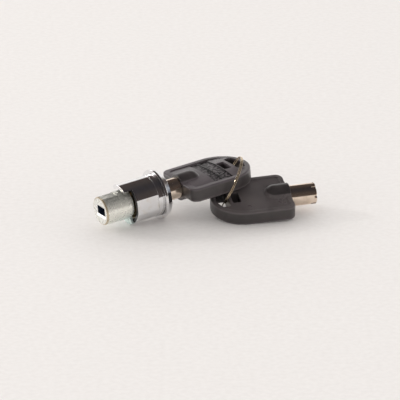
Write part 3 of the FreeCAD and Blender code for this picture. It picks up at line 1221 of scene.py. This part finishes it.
@dataclass
class KeyBarrel:
    """Tubular barrel with seven tip cuts and an inner nib."""

    radius: float = 4.75
    wall: float = 1.25
    reach: float = 11.8
    bore_depth: float = 9.0
    mouth_rounds: Pair = (0.15, 0.25)
    floor_round: float = 0.3
    cut_radius: float = 0.9
    cuts: tuple[float, ...] = (1.7, 2.6, 1.2, 2.1, 0.9, 2.3, 1.4)
    shank_radius: float = 4.5
    shank_neck: float = 0.3
    shank: float = 4.0
    tang_length: float = 6.0
    tang_width: float = 8.0
    tang_thickness: float = 3.0
    tang_sunk: float = 0.5
    nib_width: float = 0.9
    nib_height: float = 0.45
    nib_length: float = 2.0
    nib_inset: float = 0.1
    nib_sunk: float = 0.4
    nib_angle: float = TURN / PIN_COUNT / 2
    easing: float = 0.06

    def build(self, name: str) -> Piece:
        """The barrel in the key's frame.

        Args:
            name: Name of the object.

        Returns:
            The finished barrel, not yet placed.
        """
        bore = self.radius - self.wall
        floor = self.bore_depth - self.reach
        inner_round, outer_round = self.mouth_rounds
        barrel = lathe(name, [
            (-self.reach, bore, inner_round),
            (-self.reach, self.radius, outer_round),
            (-self.shank_neck, self.radius, 0),
            (-self.shank_neck, self.shank_radius, 0),
            (self.shank, self.shank_radius, 0),
            (self.shank, 0, 0),
            (floor, 0, 0),
            (floor, bore, self.floor_round),
        ], 168)
        half = self.tang_width / 2
        thick = self.tang_thickness / 2
        tang = block("tang", (self.shank - self.tang_sunk, -half, -thick),
                     (self.shank + self.tang_length, half, thick))
        nib = block("nib", (-self.reach + self.nib_inset, -self.nib_width / 2, bore - self.nib_height),
                    (-self.reach + self.nib_length, self.nib_width / 2, bore + self.nib_sunk))
        combine(barrel, [tang, moved(nib, (0, 0, 0), self.nib_angle)], Carve.ADD)
        tools = []
        for index, depth in enumerate(self.cuts):
            cut = rod("tip cut", self.cut_radius, -self.reach - 1, -self.reach + depth, 28)
            tools.append(moved(cut, (0, 0, self.radius), TURN * index / PIN_COUNT))
        combine(barrel, tools, Carve.TAKE)
        return shade(ease_edges(barrel, self.easing, 2, 25))


@dataclass
class KeyHead:
    """Moulded head with rimmed faces, boss, panel, window and ring slot."""

    length: float = 35.5
    width: float = 29.4
    thickness: float = 6.2
    shoulder: float = 3.5
    edge: float = 0.6
    edge_steps: int = 5
    rim: float = 2.6
    plain_rim: float = 2.0
    rim_step: float = 0.5
    rim_corner: float = 2.0
    crown: float = 1.1
    boss_radius: float = 6.0
    boss_length: float = 11.1
    boss_edge: float = 0.3
    boss_round: float = 4.4
    panel_start: float = 13.3
    panel_length: float = 8.6
    panel_width: float = 23.0
    panel_depth: float = 0.36
    ridge_start: float = 16.6
    ridge_width: float = 0.9
    window_start: float = 22.5
    window_length: float = 3.7
    window_width: float = 8.1
    opening_corner: float = 0.5
    slot_start: float = 27.8
    slot_width: float = 13.0
    slot_corner: float = 1.0
    slot_rim: float = 2.3
    bore_radius: float = 4.52
    bore_depth: float = 4.02
    grain: float = 0.16
    passes: int = 2

    def outline(self, inset: float, corner: float) -> list[Flat]:
        """U-shaped outline moved in by an inset, with a rounding at its shoulders."""
        side = self.width / 2 - inset
        return rounded_outline(oblong(inset, self.length - inset, side, corner, side), 28)

    def plate(self) -> Piece:
        """Plate with rounded upper and lower edges."""
        half = self.thickness / 2
        levels = []
        for step in range(self.edge_steps + 1):
            angle = math.pi / 2 * step / self.edge_steps
            inset = self.edge * (1 - math.sin(angle))
            outline = self.outline(inset, self.shoulder - inset)
            levels.append((outline, -half + self.edge * (1 - math.cos(angle))))
        upper = [(outline, -height) for outline, height in reversed(levels)]
        return stack("head plate", levels + upper)

    def inner(self, rim: float, low: float, high: float) -> Piece:
        """Shape inside a rim, from one height to another."""
        outline = self.outline(rim, self.rim_corner)
        return stack("inner", [(outline, low), (outline, high)])

    def crown_rod(self, drop: float) -> Piece:
        """Large round rod along the head whose top is the crowned face.

        Args:
            drop: Distance by which it is lowered.

        Returns:
            The rod.
        """
        reach = self.width / 2 - self.rim
        radius = (reach * reach + self.crown * self.crown) / (2 * self.crown)
        top = self.thickness / 2 - self.rim_step + self.crown
        return moved(rod("crown", radius, -1, self.length + 1, 900), (0, 0, top - drop - radius))

    def upper_room(self) -> Piece:
        """Room over the crowned upper face and in the two fields of its panel."""
        low = self.thickness / 2 - self.rim_step
        high = low + self.crown + 1
        room = combine(self.inner(self.rim, low, high), [self.crown_rod(0.0)], Carve.TAKE)
        fields = []
        for start, end in ((self.panel_start, self.ridge_start),
                           (self.ridge_start + self.ridge_width, self.panel_start + self.panel_length)):
            corners = oblong(start, end, self.panel_width / 2, self.opening_corner, self.opening_corner)
            field = prism("field", corners, low - self.panel_depth - 1, high)
            fields.append(combine(field, [self.crown_rod(self.panel_depth)], Carve.TAKE))
        return combine(room, fields, Carve.ADD)

    def lower_room(self) -> Piece:
        """Room over the plain lower face."""
        half = self.thickness / 2
        return self.inner(self.plain_rim, -half - 1, -half + self.rim_step)

    def boss(self) -> Piece:
        """Bullet-nosed boss round the barrel."""
        return lathe("boss", [
            (0, 0, 0),
            (0, self.boss_radius, self.boss_edge),
            (self.boss_length, self.boss_radius, self.boss_round),
            (self.boss_length, 0, 0),
        ], 120, 12)

    def openings(self) -> list[Piece]:
        """Window, ring slot and the barrel's socket."""
        top = self.thickness
        corners = oblong(self.window_start, self.window_start + self.window_length, self.window_width / 2,
                         self.opening_corner, self.opening_corner)
        window = prism("window", corners, -top, top)
        corners = oblong(self.slot_start, self.length, self.slot_width / 2, self.slot_corner)
        slot = prism("slot", corners, -top, top)
        round_end = rod("round end", self.width / 2 - self.slot_rim, -top - 1, top + 1, 160)
        round_end.data.transform(Matrix.Rotation(math.pi / 2, 4, "Y"))
        moved(round_end, (self.length - self.width / 2, 0, 0))
        combine(slot, [round_end], Carve.KEEP)
        return [window, slot, rod("socket", self.bore_radius, -1, self.bore_depth)]

    def build(self, name: str) -> Piece:
        """The head in the key's frame.

        Args:
            name: Name of the object.

        Returns:
            The finished head, not yet placed.
        """
        head = self.plate()
        top = self.thickness / 2 - self.rim_step + self.crown
        combine(head, [self.inner(self.rim, 0, top)], Carve.ADD)
        combine(head, [self.upper_room(), self.lower_room()], Carve.TAKE)
        combine(head, [self.boss()], Carve.ADD)
        combine(head, self.openings(), Carve.TAKE)
        melt(head, self.grain, self.passes)
        head.name = name
        return head


@dataclass
class Key:
    """One key: barrel and head."""

    number: int
    place: Place

    def build(self) -> None:
        """Make the key and put it in the set."""
        body = f"key_{self.number}"
        seat(KeyBarrel().build(f"{body}_tube"), self.place, NickelPlate(), body, [f"{body}_barrel"])
        plastic = BlackPlastic(place=self.place, number=self.number)
        seat(KeyHead().build(f"{body}_moulding"), self.place, plastic, body, [f"{body}_head"])


@dataclass
class SplitRing:
    """Ring of two turns of wire, which step sideways where the ends lie."""

    radius: float = 12.7
    wire: float = 0.25
    pitch: float = 0.62
    overlap: float = 330.0
    start: float = -26.98
    stations: int = 400
    wire_sides: int = 20

    def turns(self, finish: Finish) -> Piece:
        """Line bent into the two turns in a node tree, with the wire swept along it.

        Args:
            finish: What the wire is made of.

        Returns:
            The ring, with its axis along Z.
        """
        tree = WireTree("split ring", finish, {
            "Radius": self.radius, "Wire": self.wire, "Pitch": self.pitch, "Overlap": self.overlap})
        given = tree.given
        line = tree.add("GeometryNodeCurvePrimitiveLine").outputs["Curve"]
        run = tree.add("GeometryNodeResampleCurve", Curve=line, Count=self.stations).outputs["Curve"]
        share = tree.add("GeometryNodeSplineParameter").outputs["Factor"]
        angle = tree.maths(Maths.TIMES, share, tree.maths(Maths.ADD, given["Overlap"], TURN))
        turn = tree.maths(Maths.RADIANS, angle)
        step = tree.add("ShaderNodeMapRange", interpolation_type="SMOOTHSTEP", Value=angle,
                        From_Min=given["Overlap"], From_Max=TURN).outputs["Result"]
        place = tree.add("ShaderNodeCombineXYZ",
                         X=tree.maths(Maths.TIMES, tree.maths(Maths.COSINE, turn), given["Radius"]),
                         Y=tree.maths(Maths.TIMES, tree.maths(Maths.SINE, turn), given["Radius"]),
                         Z=tree.maths(Maths.TIMES, tree.maths(Maths.TAKE, step, 0.5), given["Pitch"]))
        bend = tree.add("GeometryNodeSetPosition", Geometry=run, Position=place.outputs["Vector"])
        return tree.piece("split_ring", tree.sweep(bend.outputs["Geometry"], self.wire_sides))

    def build(self) -> None:
        """Bend the ring and put it in the set."""
        finish = SpringSteel()
        seat(self.turns(finish), ring_place(self.start), finish, "ring", ["key_ring"])


# Studio


@dataclass
class Studio:
    """Pale floor, one soft lamp, world and camera.

    Args:
        scale: Pixels per millimetre at the aim.
        frame_px: Width of the picture in pixels.
        elevation: Camera's angle over the table in degrees.
        lens: Focal length in millimetres.
        sensor: Width of the sensor in millimetres.
        aim: Point that the camera looks at, in metres.
        floor_half: Half the floor's side in metres.
        floor_depth: Its thickness in metres.
        floor_paint: Colours of its faint mottle.
        sky_tilt: Direction in which the sky's height is measured.
        sky_colour: Colour of the sky's light.
        sky_band: Heights between which that light falls off.
        sky_strength: Its strength at those heights.
        mirror: Sky as metal shows it.
        window: Direction of the window that metal shows.
        window_band: Nearness to it between which its light grows.
        window_strength: Strength of the mirrored sky beside the window and in it.
        lamp_distance: How far the window's lamp stands, in metres.
        lamp_size: Side of its square in metres.
        lamp_watts: Its power.
        lamp_colour: Its colour.
    """

    scale: float = 2.26
    frame_px: float = 400.0
    elevation: float = 20.0
    lens: float = 300.0
    sensor: float = 36.0
    aim: Triple = (-0.00269, 0.00132, 0.006)
    floor_half: float = 3.0
    floor_depth: float = 0.02
    floor_paint: Stops = ((0.3, (0.79, 0.76, 0.742)), (0.7, (0.835, 0.807, 0.79)))
    sky_tilt: Triple = (0.0, -0.3, 1.0)
    sky_colour: Colour = (1.0, 0.985, 0.97)
    sky_band: Band = (0.3, 0.6)
    sky_strength: Band = (2.36, 0.66)
    mirror: Stops = ((0.0, (1.0, 0.98, 0.96)), (0.18, (0.98, 0.95, 0.93)), (0.26, (0.078, 0.060, 0.055)),
                     (0.8, (0.056, 0.047, 0.045)), (1.0, (0.03, 0.028, 0.034)))
    window: Triple = (-2.2, 0.9, 1.0)
    window_band: Band = (0.90, 0.96)
    window_strength: Band = (1.0, 3.0)
    lamp_distance: float = 1.6
    lamp_size: float = 0.14
    lamp_watts: float = 4.5
    lamp_colour: Colour = (1.0, 0.99, 0.97)

    def floor(self) -> None:
        """Pale floor that keeps the object's shadow."""
        half = self.floor_half
        plane = block("floor", (-half, -half, -self.floor_depth), (half, half, 0.0))
        paint = Paint("floor_paint")
        paint.dress(paint.shader, Base_Color=paint.ramp(paint.noise(420.0, 4.0), self.floor_paint),
                    Roughness=0.6)
        plane.data.materials.append(paint.material)

    def world(self) -> None:
        """White for the camera and low down, and a soft grey sky above for metal and light."""
        world = bpy.data.worlds.new("studio")
        bpy.context.scene.world = world
        world.use_nodes = True
        world.node_tree.nodes.clear()
        net = Net(world.node_tree)
        where = net.add("ShaderNodeTexCoord").outputs["Generated"]
        near = []
        for direction in (self.sky_tilt, Vector(self.window).normalized()):
            node = net.add("ShaderNodeVectorMath", operation="DOT_PRODUCT", Vector=where)
            net.feed(node.inputs[1], direction)
            near.append(node.outputs["Value"])
        rise, toward = near
        layers = [
            net.add("ShaderNodeBackground", Color=self.sky_colour,
                    Strength=net.span(rise, self.sky_band, *self.sky_strength)),
            net.add("ShaderNodeBackground", Color=net.ramp(rise, self.mirror),
                    Strength=net.span(toward, self.window_band, *self.window_strength)),
            net.add("ShaderNodeBackground", Color=(1.0, 1.0, 1.0)),
        ]
        ray = net.add("ShaderNodeLightPath").outputs
        seen = net.maths(Maths.MOST, ray["Is Camera Ray"], ray["Is Transmission Ray"])
        result = layers[0].outputs["Background"]
        for share, layer in zip((ray["Is Glossy Ray"], seen), layers[1:]):
            node = net.add("ShaderNodeMixShader", Fac=share)
            net.feed(node.inputs[1], result)
            net.feed(node.inputs[2], layer.outputs["Background"])
            result = node.outputs["Shader"]
        net.add("ShaderNodeOutputWorld", Surface=result)

    def stand(self, name: str, data: bpy.types.ID, place: Vector, back: Vector) -> Piece:
        """Lamp or camera that stands in the scene.

        Args:
            name: Name of the object.
            data: The lamp or the camera.
            place: Where it stands, in metres.
            back: Direction from what it looks at to it.

        Returns:
            The new object.
        """
        piece = as_object(name, data)
        piece.location = place
        piece.rotation_mode = "QUATERNION"
        piece.rotation_quaternion = (-back).to_track_quat("-Z", "Y")
        return piece

    def lamp(self) -> None:
        """Square soft lamp in the window, which looks at the set."""
        data = bpy.data.lights.new("window lamp", "AREA")
        data.shape = "SQUARE"
        data.size = self.lamp_size
        data.energy = self.lamp_watts
        data.color = self.lamp_colour
        place = Vector(self.window).normalized() * self.lamp_distance
        self.stand("window lamp", data, place, place)

    def camera(self) -> None:
        """Camera at the photograph's angle and scale."""
        data = bpy.data.cameras.new("camera")
        data.lens = self.lens
        data.sensor_width = self.sensor
        data.clip_start = 0.01
        data.clip_end = 50
        distance = self.lens / self.sensor * self.frame_px / self.scale * MM
        tilt = math.radians(self.elevation)
        back = Vector((0, -math.cos(tilt), math.sin(tilt)))
        place = Vector(self.aim) + back * distance
        bpy.context.scene.camera = self.stand("camera", data, place, back)

    def build(self) -> None:
        """Set up the whole studio."""
        self.floor()
        self.world()
        self.lamp()
        self.camera()
        bpy.context.scene.view_settings.view_transform = "Standard"


def numbered(stem: str) -> list[str]:
    """Names of the solids that each pin has, such as its spring."""
    return [f"{stem}_{number}" for number in range(1, PIN_COUNT + 1)]


def dress_hidden(names: Iterable[str], finish: Finish) -> None:
    """Give the finish to solids that keep their own shape.

    Args:
        names: Names of the solids.
        finish: What they are made of.
    """
    for name in names:
        mesh = frame["nodes"][name].data
        mesh.materials.clear()
        mesh.materials.append(finish.material())


def main() -> None:
    """Dress the set, sub-assembly by sub-assembly."""
    logging.basicConfig(level=logging.INFO, format="%(name)s: %(message)s")
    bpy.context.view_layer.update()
    key_stand_off = 8.4
    barrel_mount_reach = 5.925
    Studio().build()
    LockShell().build()
    DriveNose().build()
    PinSprings().build()
    dress_hidden(["spindle", "bushing"] + numbered("key_pin") + numbered("driver_pin"), Brass())
    dress_hidden(["retaining_pin"], SpringSteel())
    Key(1, first_key_place(LockShell.flange_thickness + key_stand_off)).build()
    Key(2, second_key_place(barrel_mount_reach)).build()
    SplitRing().build()


if __name__ == "__main__":
    main()
